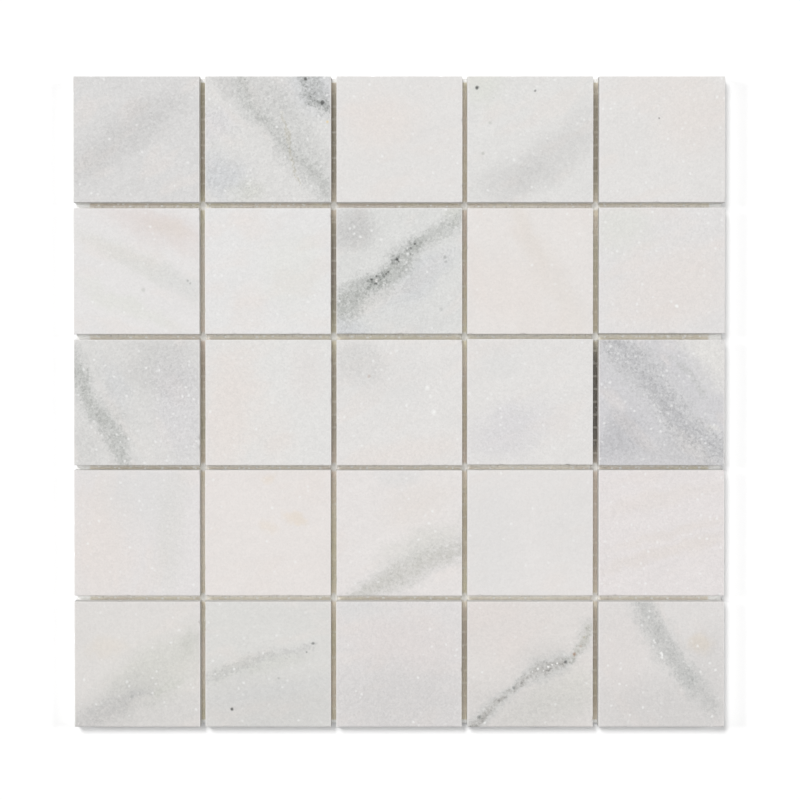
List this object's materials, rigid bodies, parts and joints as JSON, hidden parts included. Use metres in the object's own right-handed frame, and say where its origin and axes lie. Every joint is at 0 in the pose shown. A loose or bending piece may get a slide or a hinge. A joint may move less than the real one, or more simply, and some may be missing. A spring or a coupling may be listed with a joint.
{
  "type": "mosaic tile sheet",
  "caption": "Square sheet of white veined marble mosaic squares, bonded face up to a woven glass-fibre net with open joints between them, ready to bed and grout.",
  "frame": {"origin": "under the middle of the sheet, on the plane of the net's underside, which it beds on", "axes": "+Z out of the polished face, +X along the weft threads towards column 5, +Y along the warp towards row 1; the sheet lies flat"},
  "size_m": [0.3026, 0.3026, 0.0101],
  "materials": {
    "marble": "satin",
    "adhesive": "satin",
    "glass_fibre": "matte"
  },
  "bodies": {
    "root": {"tile_r1_c1": "marble", "tile_r1_c2": "marble", "tile_r1_c3": "marble", "tile_r1_c4": "marble", "tile_r1_c5": "marble", "tile_r2_c1": "marble", "tile_r2_c2": "marble", "tile_r2_c3": "marble", "tile_r2_c4": "marble", "tile_r2_c5": "marble", "tile_r3_c1": "marble", "tile_r3_c2": "marble", "tile_r3_c3": "marble", "tile_r3_c4": "marble", "tile_r3_c5": "marble", "tile_r4_c1": "marble", "tile_r4_c2": "marble", "tile_r4_c3": "marble", "tile_r4_c4": "marble", "tile_r4_c5": "marble", "tile_r5_c1": "marble", "tile_r5_c2": "marble", "tile_r5_c3": "marble", "tile_r5_c4": "marble", "tile_r5_c5": "marble", "adhesive_film": "adhesive", "net_weft": "glass_fibre", "net_warp_under": "glass_fibre", "net_warp_over": "glass_fibre"}
  },
  "joints": []
}
